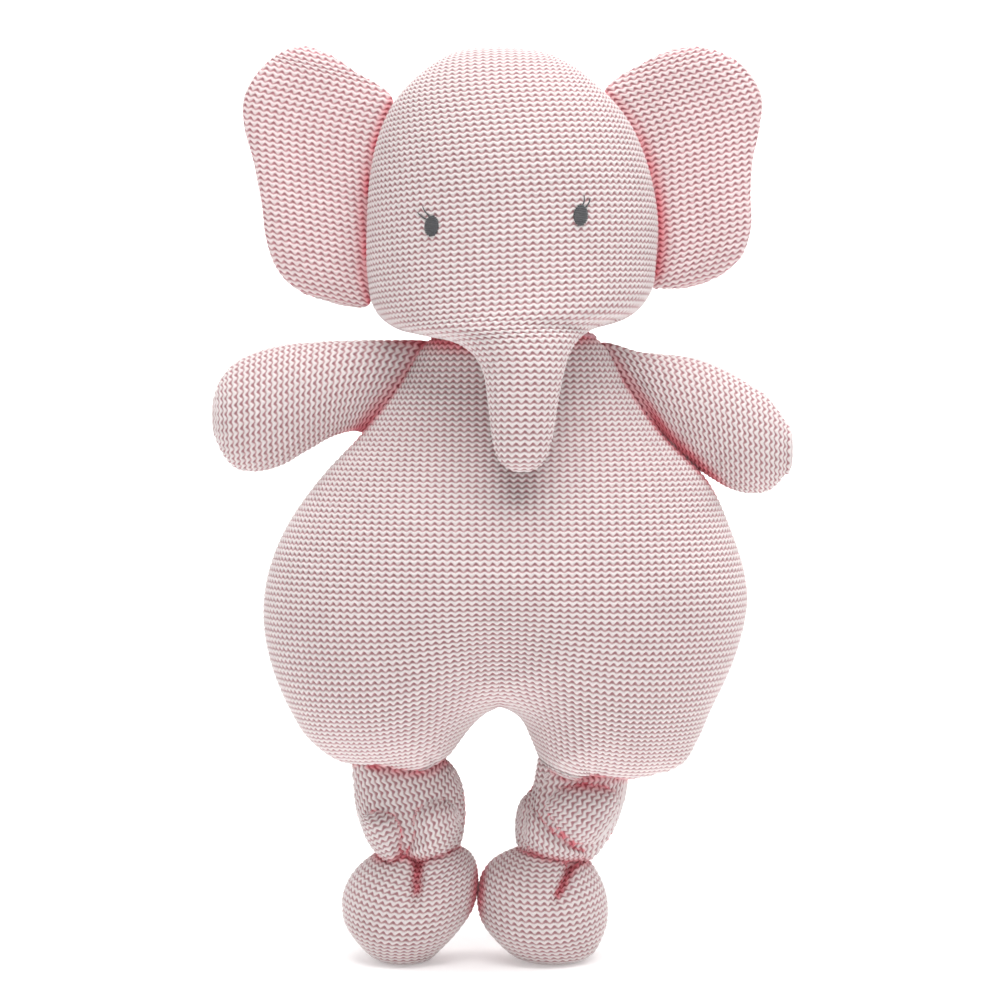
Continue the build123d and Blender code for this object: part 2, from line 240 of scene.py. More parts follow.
def sheets_to_object(name, sheets):
    """One object from several knit sheets, without the grid points that no face uses."""
    verts, infos, quads, tris, start = [], [], [], [], 0
    for s in sheets:
        q, t = weave(s["index"] + start)
        if s.get("flip"):
            q, t = q[:, ::-1], t[:, ::-1]
        quads.append(q)
        tris.append(t)
        verts.append(s["verts"].reshape(-1, 3))
        infos.append(s["info"].reshape(-1, 3))
        start += verts[-1].shape[0]
    verts, infos = np.concatenate(verts), np.concatenate(infos)
    quads, tris = np.concatenate(quads), np.concatenate(tris)
    used = np.unique(np.concatenate([quads.ravel(), tris.ravel()]))
    renumber = np.full(len(verts), -1)
    renumber[used] = np.arange(len(used))
    obj = make_mesh(name, verts[used], renumber[quads], renumber[tris], infos[used])
    KNITTED.append((obj, sheets, used))
    return obj


TRUNK_TOP = 234.0  # the trunk lifts away from the chest, so below here it neither casts nor gets painted crease shade
RAYS = 30


def paint_crease_shade(reach=15.0):
    """Writes how deep in a crease each knitted point lies, from 0 in the open to 1, for the painted
    crease shade in the knit's colour: the share of the directions it faces in which another surface
    lies nearer than reach."""
    points, faces, count = [], [], 0
    for obj, sheets, _ in KNITTED:
        for s in sheets:
            grid = s["base"][::6, ::5]
            if obj.name.startswith("head"):
                grid = grid[grid[..., 2].mean(1) > TRUNK_TOP]
            rows, cols = grid.shape[:2]
            n = np.arange(rows * cols).reshape(rows, cols) + count
            faces += np.stack([n[:-1, :-1], n[:-1, 1:], n[1:, 1:], n[1:, :-1]], 2).reshape(-1, 4).tolist()
            points += grid.reshape(-1, 3).tolist()
            count += rows * cols
    tree = BVHTree.FromPolygons(points, faces)
    turn = np.arange(RAYS) * math.pi * (3 - math.sqrt(5))
    rise = 1 - (np.arange(RAYS) + 0.5) / (RAYS / 2)
    flat = np.sqrt(1 - rise**2)
    rays = np.stack([flat * np.cos(turn), flat * np.sin(turn), rise], 1)
    for obj, sheets, used in KNITTED:
        values = []
        for s in sheets:
            rows, cols = s["base"].shape[:2]
            pick_rows = np.unique(np.r_[np.arange(0, rows, 4), rows - 1])
            pick_cols = np.unique(np.r_[np.arange(0, cols, 5), cols - 1])
            coarse = np.zeros((len(pick_rows), len(pick_cols)))
            for a, i in enumerate(pick_rows):
                for b, j in enumerate(pick_cols):
                    n = s["normal"][i, j]
                    start = s["base"][i, j] + n * 1.1
                    facing = rays @ n
                    total = hit = 0.0
                    for ray, weight in zip(rays[facing > 0.15], facing[facing > 0.15]):
                        total += weight
                        found = tree.ray_cast(start, ray, reach)
                        if found[0] is not None:
                            hit += weight * (1 - found[3] / reach)
                    coarse[a, b] = hit / max(total, 1e-6)
            wide = np.stack([np.interp(np.arange(cols), pick_cols, line) for line in coarse])
            full = np.stack([np.interp(np.arange(rows), pick_rows, line) for line in wide.T], 1)
            if obj.name.startswith("head"):
                full = full * ease(s["base"][..., 2], TRUNK_TOP - 6, TRUNK_TOP + 6)
            values.append(full.ravel())
        # the crease value, which the knit material turns into painted crease shade
        layer = obj.data.attributes.new("crease", "FLOAT", "POINT")
        layer.data.foreach_set("value", np.concatenate(values)[used].astype(np.float32))


# ---------------------------------------------------------------- base shapes
def half_ring(centre, side, front, count=160):
    """Half ellipses: from one side of each centre to the other, through front."""
    turn = np.linspace(-math.pi / 2, math.pi / 2, count)
    return (
        centre[:, None, :]
        + side[:, None, :] * np.sin(turn)[None, :, None]
        + front[:, None, :] * np.cos(turn)[None, :, None]
    )


# Torso outline: (height, left edge), (height, right edge), (height, half depth), and the lower
# edge as (across, height) from the left thigh, up the arch and down to the right thigh
TORSO_LEFT = [
    (74, -58), (79, -66.5), (86, -74.5), (96, -80.8), (115, -88.6), (140, -91),
    (165, -83.2), (186, -68.6), (202, -53.6), (220, -39.8), (238, -27.5), (247, -16),
]
TORSO_RIGHT = [
    (71, 61), (76, 69), (84, 74), (96, 79.3), (115, 88), (140, 93.4),
    (165, 87.2), (186, 76.6), (202, 61), (220, 47.6), (238, 36), (247, 24),
]
TORSO_DEPTH = [
    (70, 50), (85, 53), (105, 56), (125, 58), (145, 57.5), (165, 52),
    (185, 42.5), (202, 34.5), (220, 29.5), (238, 25), (247, 17),
]
TORSO_BELOW = [
    (-86, 108), (-80.5, 95), (-74, 85), (-66, 78), (-56, 74.4), (-40, 73.2), (-27, 74.2),
    (-20, 80), (-15, 87), (-9, 93.8), (-1.3, 97.7), (4, 96.2), (8.6, 91.5), (11.5, 85),
    (14.5, 78), (20.5, 72), (40, 70), (58, 71.2), (68, 75), (74, 84), (79.5, 96), (86, 110),
]
ARCH_X = -1.3  # the middle of the arch between the thighs
GATHERS = ((-24.5, 76), (-46, 73), (34, 72))  # where the thighs are drawn in to the legs
BELOW_ROUND = 30.0  # how far in from the lower edge the torso is rounded
CROTCH_RISE = 13.0  # how far rows rise towards the crotch, and how deep the valley above it is


def torso_floor(x):
    return smooth(TORSO_BELOW, x)


FLOOR_LINE = np.stack([np.linspace(-60, 62, 150), torso_floor(np.linspace(-60, 62, 150))], 1)


def off_floor(x, z):
    """Distance of points from the torso's lower edge."""
    flat = np.stack([x.ravel(), z.ravel()], 1)
    a, b = FLOOR_LINE[:-1], FLOOR_LINE[1:]
    best = np.full(len(flat), 1e9)
    for p, q in zip(a, b):
        d = q - p
        t = np.clip(((flat - p) @ d) / (d @ d), 0, 1)
        gap = flat - p - t[:, None] * d
        best = np.minimum(best, np.einsum("ij,ij->i", gap, gap))
    return np.sqrt(best).reshape(x.shape)


def torso_depth(x, z):
    left, right = smooth(TORSO_LEFT, z), smooth(TORSO_RIGHT, z)
    half, middle = (right - left) / 2, (right + left) / 2
    share = np.clip(np.abs(x - middle) / half, 0, 1)
    section = np.sqrt(np.clip(1 - share**2.15, 0, 1))
    near_crotch = np.exp(-(((x - ARCH_X) / 14.0) ** 2))
    edge = rounded(off_floor(x, z) / (BELOW_ROUND - 15.0 * near_crotch))
    valley = CROTCH_RISE * near_crotch * ease(z, 152, 104)
    depth = np.maximum(smooth(TORSO_DEPTH, z) * section - valley, 1.0 * section) * edge
    for gather_x, gather_z in GATHERS:
        dx, dz = x - gather_x, z - gather_z
        far = np.hypot(dx, dz)
        fold = 0.5 + 0.5 * np.cos(6 * np.arctan2(dz, dx) + 0.6)
        depth = depth * (1 - 0.22 * np.exp(-((far / 4.5) ** 2)))
        depth = depth - 1.9 * fold * np.exp(-((far / 10.0) ** 2))
    return np.maximum(depth, 0)


def torso_row_height(x, row):
    """The height of row at x: level above, and rising towards the crotch below."""
    rise = CROTCH_RISE * ease(row, 152, 78)
    return row + rise * np.exp(-(((x - ARCH_X) / 34.0) ** 2))


def torso_lowest_row(side):
    """The lowest row that one half of the torso still has."""
    x = ARCH_X + side * np.linspace(20, 80, 120)
    rows = np.arange(60, 90, 0.1)
    room = [(torso_row_height(x, row) - torso_floor(x)).max() for row in rows]
    return float(rows[np.argmax(np.array(room) > 0.15)])


def torso_half(side, face):
    """Points along each row of one half of one torso panel, from the middle out to the side."""

    def curve(rows):
        x_all = np.linspace(0, 1, 420)
        grid = np.empty((len(rows), 200, 3))
        for i, row in enumerate(rows):
            x = ARCH_X + side * x_all * 97
            z = torso_row_height(x, row)
            outer = smooth(TORSO_LEFT if side < 0 else TORSO_RIGHT, z)
            margin = np.minimum((outer - x) * side, z - torso_floor(x))
            inside = np.nonzero(margin > 0)[0]
            if len(inside) < 2:
                best = int(np.argmax(margin))
                inside = np.array([best, best + 1])
            first, last = inside[0], inside[-1]
            start = x[first]
            if first > 0:
                t = margin[first - 1] / (margin[first - 1] - margin[first])
                start = x[first - 1] + t * (x[first] - x[first - 1])
            end = x[last]
            if last + 1 < len(x) and margin[last + 1] < 0:
                t = margin[last] / (margin[last] - margin[last + 1])
                end = x[last] + t * (x[last + 1] - x[last])
            lean = 0.5 - 0.5 * np.cos(np.linspace(0, math.pi, 200))
            xs = start + (end - start) * lean
            grid[i, :, 0] = xs
            grid[i, :, 2] = torso_row_height(xs, row)
        depth = torso_depth(grid[:, :, 0], grid[:, :, 2])
        depth[:, -1] = 0
        grid[:, :, 1] = SEAM_Y + face * depth
        return grid

    return curve


# Head and trunk: rings from the trunk's tip to the crown. Each is (middle height, across, half
# width, then the seam's place front to back, the front's and its height, the back's and its
# height, and how the ring tilts across)
HEAD_RINGS = [
    (188.9, 7.0, 0.05, -50, -50.05, 188.9, -49.95, 188.9, 0),
    (190.3, 7.0, 5.6, -50, -54.8, 190.1, -45.2, 190.5, 0),
    (194, 7.0, 8.9, -50, -58.6, 193.8, -41.4, 194.2, 0),
    (202, 7.1, 11.0, -49.6, -60.3, 201.8, -38.6, 202, 0),
    (214, 7.4, 12.6, -48.8, -61, 213.8, -36.6, 214, 0),
    (225, 7.6, 14.6, -47.6, -61, 225, -34, 225.5, 0),
    (231.5, 6.9, 17.2, -45.6, -60.4, 231.5, -30.5, 232, 0.01),
    (237, 5.2, 22.5, -40, -59.4, 237, -22, 236.5, 0.02),
    (241.5, 1.0, 33.5, -26, -57.8, 241.4, -4, 239.8, 0.03),
    (246.2, 3.4, 45.5, -12, -56.2, 246, 16, 241.5, 0.045),
    (253.5, 3.8, 52.4, -3, -54, 253, 33, 246, 0.06),
    (264, 3.5, 54.6, 0, -51.5, 264, 42, 259, 0.06),
    (281.5, 3.6, 55.2, 0, -48.8, 281.5, 46, 280, 0.06),
    (304.5, 1.9, 52.0, 0, -45.4, 304.5, 45, 304.5, 0.06),
    (319, 0.2, 46.9, 0, -40.5, 319, 40, 319, 0.06),
    (331.7, -1.9, 38.3, 0, -33.5, 331.7, 33, 331.7, 0.06),
    (341, -2.3, 28.2, 0, -25, 341, 25, 341, 0.05),
    (346.6, -2.4, 18, 0, -16, 346.6, 16, 346.6, 0.03),
    (349, -2.4, 8, 0, -7, 349, 7, 349, 0.01),
    (349.5, -2.4, 0.05, 0, -0.05, 349.5, 0.05, 349.5, 0),
]
RING_GAPS = np.linalg.norm(np.diff(np.array(HEAD_RINGS, float)[:, [0, 2, 4]], axis=0), axis=1)
RING_STEPS = np.r_[0, np.cumsum(RING_GAPS**0.7)]
HEAD_KEYS = [(s, *r) for s, r in zip(RING_STEPS, HEAD_RINGS)]
HEAD_TOP = RING_STEPS[-1]


def head_half(face):
    """Points along each row of the head's front (face -1) or back panel, left to right."""

    def curve(p):
        k = smooth(HEAD_KEYS, p)
        z, x, half, seam, fy, fz, by, bz, tilt = k.T
        half = np.maximum(half, 0.05)
        centre = np.stack([x, SEAM_Y + seam, z], 1)
        side = np.stack([half, 0 * x, half * tilt], 1)
        if face < 0:
            reach = np.stack([0 * x, fy - seam, fz - z], 1)
        else:
            reach = np.stack([0 * x, by - seam, bz - z], 1)
        return half_ring(centre, side, reach)

    return curve


# Arms: upper and lower edge from the seam to the tip, as (across, height), and half thickness
LEFT_ARM = [
    ((-22, 234), (-46, 200), 4.0),
    ((-28.5, 238), (-53.5, 202), 4.5),
    ((-44, 238.2), (-58, 202.8), 9.0),
    ((-60, 237.8), (-65, 201.3), 13.0),
    ((-74, 237), (-75, 195.8), 15.0),
    ((-85.2, 235.8), (-85.2, 190.0), 16.0),
    ((-96, 232.6), (-95.6, 187.8), 15.8),
    ((-105, 226.6), (-104, 190.6), 13.4),
    ((-109, 220), (-108.4, 197.5), 9.0),
    ((-110.4, 214), (-110.4, 204), 4.5),
    ((-110.8, 209.1), (-110.8, 208.9), 0.05),
]
RIGHT_ARM = [
    ((32, 234), (56, 195), 4.0),
    ((38.5, 237.6), (63.5, 197), 4.5),
    ((52, 233.8), (68, 193.6), 9.0),
    ((64, 232.4), (74, 189.4), 13.0),
    ((74.9, 230.6), (81, 184.8), 15.0),
    ((84.5, 226.8), (88, 181), 16.0),
    ((93, 221.8), (95.2, 179.4), 15.5),
    ((102, 215.4), (102.8, 181), 12.8),
    ((107.9, 207), (107.5, 186), 9.0),
    ((110.3, 201), (110.3, 191), 4.5),
    ((110.7, 196.1), (110.7, 195.9), 0.05),
]


def arm_half(arm, face):
    rows = [(*upper, *lower, depth) for upper, lower, depth in arm]
    k = np.array(rows, float)
    middle = (k[:, 0:2] + k[:, 2:4]) / 2
    step = np.r_[0, np.cumsum(np.linalg.norm(np.diff(middle, axis=0), axis=1) ** 0.8)]
    keys = [(s, *r) for s, r in zip(step, rows)]

    def curve(p):
        ux, uz, lx, lz, depth = smooth(keys, p).T
        upper = np.stack([ux, 0 * ux + SEAM_Y, uz], 1)
        lower = np.stack([lx, 0 * lx + SEAM_Y, lz], 1)
        reach = np.stack([0 * ux, face * depth, 0 * ux], 1)
        return half_ring((upper + lower) / 2, (upper - lower) / 2, reach)

    return curve, step[-1]


# Ears: outline as (across, height), from the top of the root round the rim and back up the root
LEFT_EAR = [
    (-41.6, 330), (-55, 339.8), (-66.5, 347), (-77, 349.9), (-90, 343.6), (-98.6, 331),
    (-99, 320), (-95.6, 307), (-92.2, 290), (-90.6, 277), (-87, 266), (-80, 258), (-70, 253.8),
    (-60, 251), (-51, 251), (-49.6, 266), (-50.6, 285), (-48.6, 304), (-44.6, 318),
]
RIGHT_EAR = [
    (38.5, 332.6), (53, 343.4), (63.5, 348.3), (75, 349.6), (90, 343.8), (98.6, 332),
    (98.4, 319), (95.8, 307), (94.8, 294), (95, 281), (91.5, 270), (83, 262.4), (71, 258),
    (62, 257.6), (56.6, 258.4), (57.6, 274), (56, 289), (51.4, 305), (44.6, 320),
]
EAR_HALF = 4.6  # an ear's half thickness
EAR_ROUND = 11.0  # how far in from its rim it is rounded


def closed_line(points, count=360):
    """A smooth closed line through the points of an outline, whose last point is its first."""
    p = list(points)
    line = through(p[-3:] + p + p[:3], count * 2)
    gap = np.linalg.norm(line - np.array(p[0]), axis=1)
    first = int(np.argmin(gap[: count]))
    second = count + int(np.argmin(gap[count:]))
    return np.concatenate([line[first : second + 1], line[first : first + 1]])


def pillow_half(outline, tilt, face, swell):
    """One side of a stuffed shape with that outline; rows tilt, and swell gives (depth of the
    middle plane, half thickness) at (across, height, distance in from the outline)."""
    line = closed_line(outline)
    turn = math.radians(tilt)
    along = np.array([math.cos(turn), math.sin(turn)])
    climb = np.array([-math.sin(turn), math.cos(turn)])
    flat = np.stack([line @ along, line @ climb], 1)
    low, high = flat[:, 1].min() + 0.15, flat[:, 1].max() - 0.15

    def crossings(level):
        a, b = flat[:-1], flat[1:]
        hit = (a[:, 1] - level) * (b[:, 1] - level) <= 0
        a, b = a[hit], b[hit]
        t = (level - a[:, 1]) / np.where(b[:, 1] == a[:, 1], 1, b[:, 1] - a[:, 1])
        x = a[:, 0] + t * (b[:, 0] - a[:, 0])
        return x.min(), x.max()

    def curve(levels):
        lean = 0.5 - 0.5 * np.cos(np.linspace(0, math.pi, 160))
        spots = np.empty((len(levels), 160, 2))
        for i, level in enumerate(levels):
            x0, x1 = crossings(level)
            spots[i, :, 0] = x0 + (x1 - x0) * lean
            spots[i, :, 1] = level
        x = spots[..., 0] * along[0] + spots[..., 1] * climb[0]
        z = spots[..., 0] * along[1] + spots[..., 1] * climb[1]
        here = np.stack([x.ravel(), z.ravel()], 1)
        best = np.full(len(here), 1e9)
        for p in line[::2]:
            best = np.minimum(best, ((here - p) ** 2).sum(1))
        inward = np.sqrt(best).reshape(x.shape)
        inward[:, 0] = inward[:, -1] = 0
        middle, thick = swell(x, z, inward)
        closing = np.clip(np.minimum(levels - low, high - levels) / 2.0, 0, 1) ** 0.5
        thick = thick * closing[:, None]
        return np.stack([x, SEAM_Y + middle + face * thick, z], 2)

    return curve, low, high


def ear_swell(sign):
    def swell(x, z, inward):
        from_root = np.abs(x - sign * 52)
        thick = EAR_HALF * (0.55 + 0.45 * ease(from_root, 0, 16)) * rounded(inward / EAR_ROUND)
        cup = -2.2 * ease(from_root, 8, 52) + 1.2 * np.sin(z * 0.08 + 1.0) * ease(from_root, 10, 45)
        return cup, thick

    return swell


def lobe_swell(middle, thick, depth):
    return lambda x, z, inward: (middle + 0 * x, thick * rounded(inward / depth))


# Feet: (height, left edge, right edge, half depth)
FEET = {
    "left": [
        (0.25, -37.05, -36.95, 0.05), (0.3, -45, -30, 10), (1.0, -48.5, -27.5, 15),
        (3.6, -52.6, -24.5, 19), (10.3, -59.4, -16.6, 24), (16, -61.3, -12.4, 26),
        (23, -61.0, -10.0, 26.4), (30, -57.6, -9.8, 25), (36, -51.6, -11.2, 21.5),
        (40.5, -46, -14.2, 17), (43.6, -39, -20, 11), (44.8, -33, -26, 4),
        (45.1, -29.05, -28.95, 0.05),
    ],
    "right": [
        (0.25, 18.95, 19.05, 0.05), (0.3, 10, 28, 10), (1.0, 6.5, 31, 15),
        (3.4, 2, 35.4, 19), (10.3, -6.2, 39.4, 24), (16, -8.9, 40.2, 26),
        (23, -9.4, 39.4, 26), (30, -7.6, 36.6, 24.5), (35.6, -3.2, 32.6, 21),
        (40, 3, 28, 16.5), (43, 9, 23.5, 10.5), (44.2, 14, 19, 4),
        (44.5, 16.45, 16.55, 0.05),
    ],
}


FOOT_CREASE = {"left": (-32.5, 0.05), "right": (22.5, 0.5)}  # where it starts across, and its lean


def foot_half(rings, face, crease_x, crease_lean):
    """Points along each row of a foot's front (face -1) or back, with a crease down the front."""
    keys = [(i, *ring) for i, ring in enumerate(rings)]

    def curve(p):
        z, left, right, deep = smooth(keys, p).T
        x0, wide = (left + right) / 2, (right - left) / 2
        ring = half_ring(
            np.stack([x0, 0 * z + SEAM_Y, z], 1),
            np.stack([wide, 0 * z, 0 * z], 1),
            np.stack([0 * z, face * deep, 0 * z], 1),
        )
        x, y, h = ring[..., 0], ring[..., 1], ring[..., 2]
        off = (x - x0[:, None]) / np.maximum(wide, 3)[:, None]
        sag = ease(h, 1.5, 14) * ease(h, 46, 34)
        ring[..., 2] = h + sag * (4.2 * off**2 - 1.6)
        if face < 0:
            line = crease_x + crease_lean * (h - 32)
            groove = np.exp(-(((x - line) / 2.5) ** 2)) * ease(h, 20, 34)
            ring[..., 1] = y + 6.0 * groove
            ring[..., 2] -= 2.0 * groove
        return ring

    return curve


# The knot in each leg: the folded lobes that show, each as (outline, depth of its middle plane,
# half thickness, how far in it is rounded, tilt of its rows)
KNOTS = {
    "left": [
        ([(-56.4, 79), (-57, 67), (-55.2, 54), (-50.4, 44), (-44, 37.6), (-36, 36), (-24, 37),
          (-17.2, 43), (-14.8, 52.6), (-15.2, 63), (-17.2, 71), (-23.4, 77.5), (-34, 82), (-47, 82.5)],
         0.5, 16, 16, -66),
        ([(-53.4, 56.5), (-53, 50), (-48.6, 42.6), (-43.2, 38.4), (-38.6, 40.5), (-36.6, 48),
          (-36.8, 54.6), (-41, 60.2), (-47.6, 60.6)], -5.5, 15, 10, 28),
        ([(-36.7, 57), (-36.4, 49.5), (-38.2, 42), (-31, 38.2), (-21.4, 41.4), (-16.6, 51),
          (-17.2, 60), (-25, 66), (-32.4, 63.6)], -4.5, 16, 11, -76),
    ],
    "right": [
        ([(17, 77), (11.8, 66), (6.4, 59.4), (5.1, 51), (6.8, 42), (14, 36.6), (25, 36),
          (33.4, 38.4), (39.4, 45), (44.8, 55.5), (47.6, 66), (47.2, 74), (40, 81), (26, 81.5)],
         0, 15.5, 16, 80),
        ([(15.4, 61.4), (21, 69), (33, 72), (43.6, 66), (42.8, 56), (36.8, 47), (27, 45.4), (18.4, 52)],
         -6.5, 14.5, 12, 52),
        ([(7.6, 54), (8.4, 46), (15, 39.4), (26, 39), (32.6, 41.6), (28, 47.6), (18, 56.4), (11.4, 60)],
         -5, 14, 10, 88),
    ],
}
LEG_CORE = {"left": ((-35.4, 84), (-35.4, 30)), "right": ((27, 82), (18, 30))}
LEG_CORE_HALF = 12.5


def core_half(ends, face):
    """A slim upright tube inside a leg, that joins the thigh, the knot and the foot."""
    (x1, z1), (x0, z0) = ends

    def curve(p):
        z = z0 + (z1 - z0) * p
        x = x0 + (x1 - x0) * p
        wide = LEG_CORE_HALF + 0 * p
        return half_ring(
            np.stack([x, SEAM_Y + 0 * z, z], 1),
            np.stack([wide, 0 * z, 0 * z], 1),
            np.stack([0 * z, face * wide * 0.9, 0 * z], 1),
        )

    return curve


# ---------------------------------------------------------------- materials
# Painted shade: yarn in creases turns a deeper pink, in place of shade and the light bounced between pink
# surfaces
CREASE_SHADE_FROM = 0.11  # the crease value at which the painted crease shade starts to deepen the yarn's colour
CREASE_SHADE_GAIN = 2.6
PAINTED_CREASE_SHADE = (1.0, 0.34, 0.40)


def knit_material(name, ridge, gap, deep):
    """Yarn that is ridge on a row's crest, gap between rows and deep in the pits of the stitches,
    coloured by the mesh's own stitch and row numbers. The light crests and dark gaps are partly the
    yarn's own two tones and partly painted highlight and painted shade; the deep pits are painted shade."""
    mat = bpy.data.materials.new(name)
    mat.use_nodes = True
    nodes, links = mat.node_tree.nodes, mat.node_tree.links
    shader = nodes["Principled BSDF"]
    shader.inputs["Roughness"].default_value = 0.95
    shader.inputs["Specular IOR Level"].default_value = 0.12
    shader.inputs["Sheen Weight"].default_value = 0.25
    shader.inputs["Sheen Roughness"].default_value = 0.6
    shader.inputs["Sheen Tint"].default_value = (1.0, 0.93, 0.93, 1)

    def math_node(operation, a, b=None, clamp=False):
        node = nodes.new("ShaderNodeMath")
        node.operation = operation
        node.use_clamp = clamp
        for socket, value in zip(node.inputs, (a, b)):
            if value is None:
                continue
            if isinstance(value, (int, float)):
                socket.default_value = value
            else:
                links.new(value, socket)
        return node.outputs[0]

    def mix(factor, a, b, blend="MIX"):
        node = nodes.new("ShaderNodeMix")
        node.data_type = "RGBA"
        node.blend_type = blend
        for socket, value in ((node.inputs[0], factor), (node.inputs[6], a), (node.inputs[7], b)):
            if isinstance(value, (int, float)):
                socket.default_value = value
            elif isinstance(value, tuple):
                socket.default_value = (*value, 1)
            else:
                links.new(value, socket)
        return node.outputs[2]

    def noise(scale, detail=2.0):
        node = nodes.new("ShaderNodeTexNoise")
        node.inputs["Scale"].default_value = scale
        node.inputs["Detail"].default_value = detail
        links.new(place.outputs["Object"], node.inputs["Vector"])
        return node.outputs["Fac"]

    place = nodes.new("ShaderNodeTexCoord")
    stitch = nodes.new("ShaderNodeAttribute")
    stitch.attribute_name = "knit"
    split = nodes.new("ShaderNodeSeparateXYZ")
    links.new(stitch.outputs["Vector"], split.inputs[0])
    u, v = split.outputs[:2]

    band = math_node("PINGPONG", v, 0.5)
    band = math_node("MULTIPLY", band, 2.0)
    arch = math_node("SINE", math_node("MULTIPLY", u, 2 * math.pi))
    arch = math_node("MULTIPLY_ADD", arch, 0.5)
    arch.node.inputs[2].default_value = 0.5
    start = math_node("MULTIPLY_ADD", arch, 0.20)
    start.node.inputs[2].default_value = 0.10
    # how deep in a crease the point lies, for the painted crease shade below
    crease = nodes.new("ShaderNodeAttribute")
    crease.attribute_name = "crease"
    light = math_node("SUBTRACT", band, start)
    light = math_node("DIVIDE", light, 0.42, clamp=True)
    fleck = math_node("MULTIPLY_ADD", noise(900, 3), 0.5)
    fleck.node.inputs[2].default_value = -0.25
    light = math_node("ADD", light, fleck, clamp=True)
    # painted shade in the pit under each arch of yarn
    pit = math_node("MULTIPLY", math_node("SUBTRACT", 1.0, light), arch)
    twist = math_node("MULTIPLY_ADD", u, 5.0)
    links.new(math_node("MULTIPLY", v, 3.0), twist.node.inputs[2])
    twist = math_node("SINE", math_node("MULTIPLY", twist, 2 * math.pi))
    # ridge to gap colour: partly the yarn's own two tones, partly painted highlight on crests and painted
    # shade between rows; then painted shade in the pits
    colour = mix(light, gap, ridge)
    colour = mix(math_node("MULTIPLY", pit, 0.85), colour, deep)
    shade = math_node("MULTIPLY_ADD", noise(28, 2), 0.10)
    shade.node.inputs[2].default_value = 0.95
    tint = nodes.new("ShaderNodeCombineColor")
    for socket in tint.inputs[:3]:
        links.new(shade, socket)
    colour = mix(1.0, colour, tint.outputs[0], "MULTIPLY")
    # painted shade: deeper pink where the point lies in a crease, in place of shade and light bounced
    # between pink surfaces
    painted_crease_shade = math_node("SUBTRACT", crease.outputs["Fac"], CREASE_SHADE_FROM)
    painted_crease_shade = math_node("MULTIPLY", painted_crease_shade, CREASE_SHADE_GAIN, clamp=True)
    colour = mix(painted_crease_shade, colour, mix(1.0, colour, PAINTED_CREASE_SHADE, "MULTIPLY"))
    links.new(colour, shader.inputs["Base Color"])

    fuzz = math_node("ADD", noise(2600, 3), math_node("MULTIPLY", twist, 0.12))
    bump = nodes.new("ShaderNodeBump")
    bump.inputs["Strength"].default_value = 0.35
    bump.inputs["Distance"].default_value = 0.0004
    links.new(fuzz, bump.inputs["Height"])
    links.new(bump.outputs[0], shader.inputs["Normal"])
    return mat


# ridge, gap and deep colours: the gap colour is partly painted shade between rows, the deep colour is
# painted shade in the pits
KNIT = knit_material("knit_yarn", (0.755, 0.697, 0.692), (0.53, 0.33, 0.336), (0.38, 0.17, 0.19))
EAR_KNIT = knit_material("ear_knit_yarn", (0.83, 0.715, 0.715), (0.63, 0.36, 0.373), (0.47, 0.19, 0.22))


def thread_material(name, colour, rough=0.6):
    mat = bpy.data.materials.new(name)
    mat.use_nodes = True
    nodes, links = mat.node_tree.nodes, mat.node_tree.links
    shader = nodes["Principled BSDF"]
    shader.inputs["Roughness"].default_value = rough
    shader.inputs["Sheen Weight"].default_value = 0.2
    place = nodes.new("ShaderNodeTexCoord")
    wave = nodes.new("ShaderNodeTexNoise")
    wave.inputs["Scale"].default_value = 1800
    links.new(place.outputs["Object"], wave.inputs["Vector"])
    ramp = nodes.new("ShaderNodeValToRGB")
    ramp.color_ramp.elements[0].color = (*[c * 0.65 for c in colour], 1)
    ramp.color_ramp.elements[1].color = (*[min(c * 1.35, 1) for c in colour], 1)
    links.new(wave.outputs["Fac"], ramp.inputs[0])
    links.new(ramp.outputs[0], shader.inputs["Base Color"])
    bump = nodes.new("ShaderNodeBump")
    bump.inputs["Strength"].default_value = 0.4
    bump.inputs["Distance"].default_value = 0.0002
    links.new(wave.outputs["Fac"], bump.inputs["Height"])
    links.new(bump.outputs[0], shader.inputs["Normal"])
    return mat


EYE_THREAD = thread_material("eye_thread", (0.065, 0.065, 0.07))
SEAM_THREAD = thread_material("seam_thread", (0.72, 0.42, 0.47), 0.9)
LABEL_CLOTH = thread_material("label_cloth", (0.82, 0.81, 0.80), 0.8)


def dress(obj, material):
    obj.data.materials.clear()
    obj.data.materials.append(material)
    return obj


# ---------------------------------------------------------------- the pieces
def two_panels(halves, low, high, flips=(True, False), signs=(1, 1)):
    """Front and back sheets that share their rows, so that their edges meet."""
    levels = row_levels(halves, low, high)
    sheets = []
    for half, flip, sign in zip(halves, flips, signs):
        s = knit_sheet(half, levels, out=-1 if flip else 1, sign=sign)
        s["flip"] = flip
        sheets.append(s)
    return sheets


def build_torso():
    halves = {(side, face): torso_half(side, face) for side in (-1, 1) for face in (-1, 1)}
    lowest = {side: torso_lowest_row(side) for side in (-1, 1)}
    fronts = [halves[-1, -1], halves[1, -1]]
    at_rows, rows = row_levels(fronts, min(lowest.values()), 246, most=1.25)
    for face, name in ((-1, "front"), (1, "back")):
        sheets = []
        for side in (-1, 1):
            kept = at_rows >= lowest[side] - 1e-6
            levels = (at_rows[kept], rows[kept])
            s = knit_sheet(
                halves[side, face], levels, ref=0.0, out=side * face, sign=side, split=(ARCH_X, 36)
            )
            s["flip"] = side * face < 0
            sheets.append(s)
        obj = sheets_to_object(f"torso_{name}_skin", sheets)
        dress(obj, KNIT)
        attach(obj, "body")
        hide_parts(f"torso_{name}_panel")
        if face < 0:
            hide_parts("torso_side_seam", "torso_stuffing")


